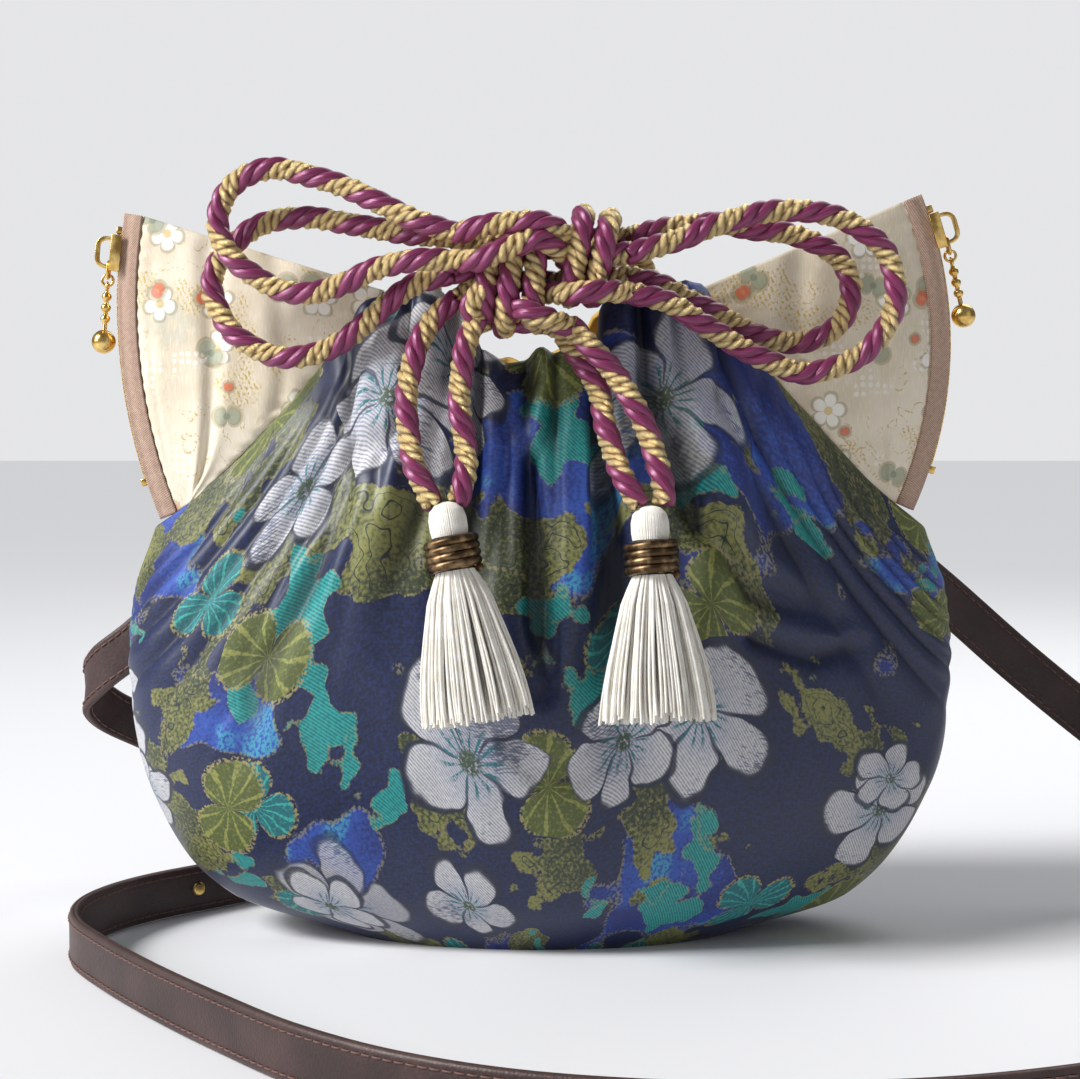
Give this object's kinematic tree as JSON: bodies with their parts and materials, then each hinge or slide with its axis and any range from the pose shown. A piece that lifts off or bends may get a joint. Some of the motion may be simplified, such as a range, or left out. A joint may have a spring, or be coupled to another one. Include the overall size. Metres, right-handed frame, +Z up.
{
  "type": "drawstring shoulder bag",
  "caption": "Gathered drawstring bag of blue flowered satin with cream brocade wings, side zips with beaded pulls, a twisted cord bow, tassels and a leather shoulder strap.",
  "frame": {"origin": "middle of the flat base, on the surface the bag stands on", "axes": "+X to the bag's right in the front view, along its width; +Y from front to back; +Z up"},
  "size_m": [0.391, 0.311, 0.2354],
  "materials": {
    "jacquard": "satin",
    "lining": "matte",
    "brocade": "satin",
    "tape": "matte",
    "brass": "polished",
    "bronze": "antique",
    "cord": "satin",
    "cotton": "matte",
    "leather": "smooth"
  },
  "bodies": {
    "bag": {"body": "jacquard", "bow_knot": "cord", "bow_loop_left_lower": "cord", "bow_loop_left_upper": "cord", "bow_loop_right_inner": "cord", "bow_loop_right_outer": "cord", "casing_back": "lining", "casing_front_left": "lining", "casing_front_right": "lining", "lining": "lining", "neck_strand_lower": "cord", "neck_strand_upper": "cord", "shoulder_strap": "leather", "stop_bottom_left": "brass", "stop_bottom_right": "brass", "stop_top_left": "brass", "stop_top_right": "brass", "strap_rivet": "brass", "tail_left_front": "cord", "tail_left_rear": "cord", "tail_right_front": "cord", "tail_right_rear": "cord", "tape_back_left": "tape", "tape_back_right": "tape", "tape_front_left": "tape", "tape_front_right": "tape", "tassel_collar_left": "bronze", "tassel_collar_right": "bronze", "tassel_threads_left": "cotton", "tassel_threads_right": "cotton", "teeth_left": "brass", "teeth_right": "brass", "wing_back_left": "brocade", "wing_back_right": "brocade", "wing_front_left": "brocade", "wing_front_right": "brocade"},
    "slider_left": {"slider_left": "brass"},
    "link_left": {"link_left": "brass"},
    "ring_left": {"ring_left": "brass"},
    "drop_left": {"drop_left": "brass"},
    "slider_right": {"slider_right": "brass"},
    "link_right": {"link_right": "brass"},
    "ring_right": {"ring_right": "brass"},
    "drop_right": {"drop_right": "brass"}
  },
  "joints": [
    {"name": "zip_slider_left", "type": "hinge", "parent": "bag", "child": "slider_left", "pos_m": [0.0467, 0, 0.193], "axis": [0, 1, 0], "range_deg": [-20.8, 0]},
    {"name": "pull_link_left", "type": "hinge", "parent": "slider_left", "child": "link_left", "pos_m": [-0.13329, 0, 0.20752], "axis": [0, 1, 0], "range_deg": [0, 20.8]},
    {"name": "pull_ring_left", "type": "hinge", "parent": "link_left", "child": "ring_left", "pos_m": [-0.1337, 0, 0.20233], "axis": [0, 1, 0], "range_deg": [0, 70]},
    {"name": "pull_drop_left", "type": "hinge", "parent": "ring_left", "child": "drop_left", "pos_m": [-0.13388, 0, 0.20004], "axis": [0.9969, 0, -0.0785], "range_deg": [-40, 40]},
    {"name": "zip_slider_right", "type": "hinge", "parent": "bag", "child": "slider_right", "pos_m": [0.0026, 0, 0.181], "axis": [0, 1, 0], "range_deg": [0, 31.1]},
    {"name": "pull_link_right", "type": "hinge", "parent": "slider_right", "child": "link_right", "pos_m": [0.12557, 0, 0.21497], "axis": [0, 1, 0], "range_deg": [-31.1, 0]},
    {"name": "pull_ring_right", "type": "hinge", "parent": "link_right", "child": "ring_right", "pos_m": [0.12674, 0, 0.2099], "axis": [0, 1, 0], "range_deg": [-70, 0]},
    {"name": "pull_drop_right", "type": "hinge", "parent": "ring_right", "child": "drop_right", "pos_m": [0.12726, 0, 0.20766], "axis": [0.9744, 0, 0.225], "range_deg": [-40, 40]}
  ],
  "couplings": [
    {"joint": "pull_link_left", "follows": "zip_slider_left", "ratio": -1},
    {"joint": "pull_link_right", "follows": "zip_slider_right", "ratio": -1}
  ]
}
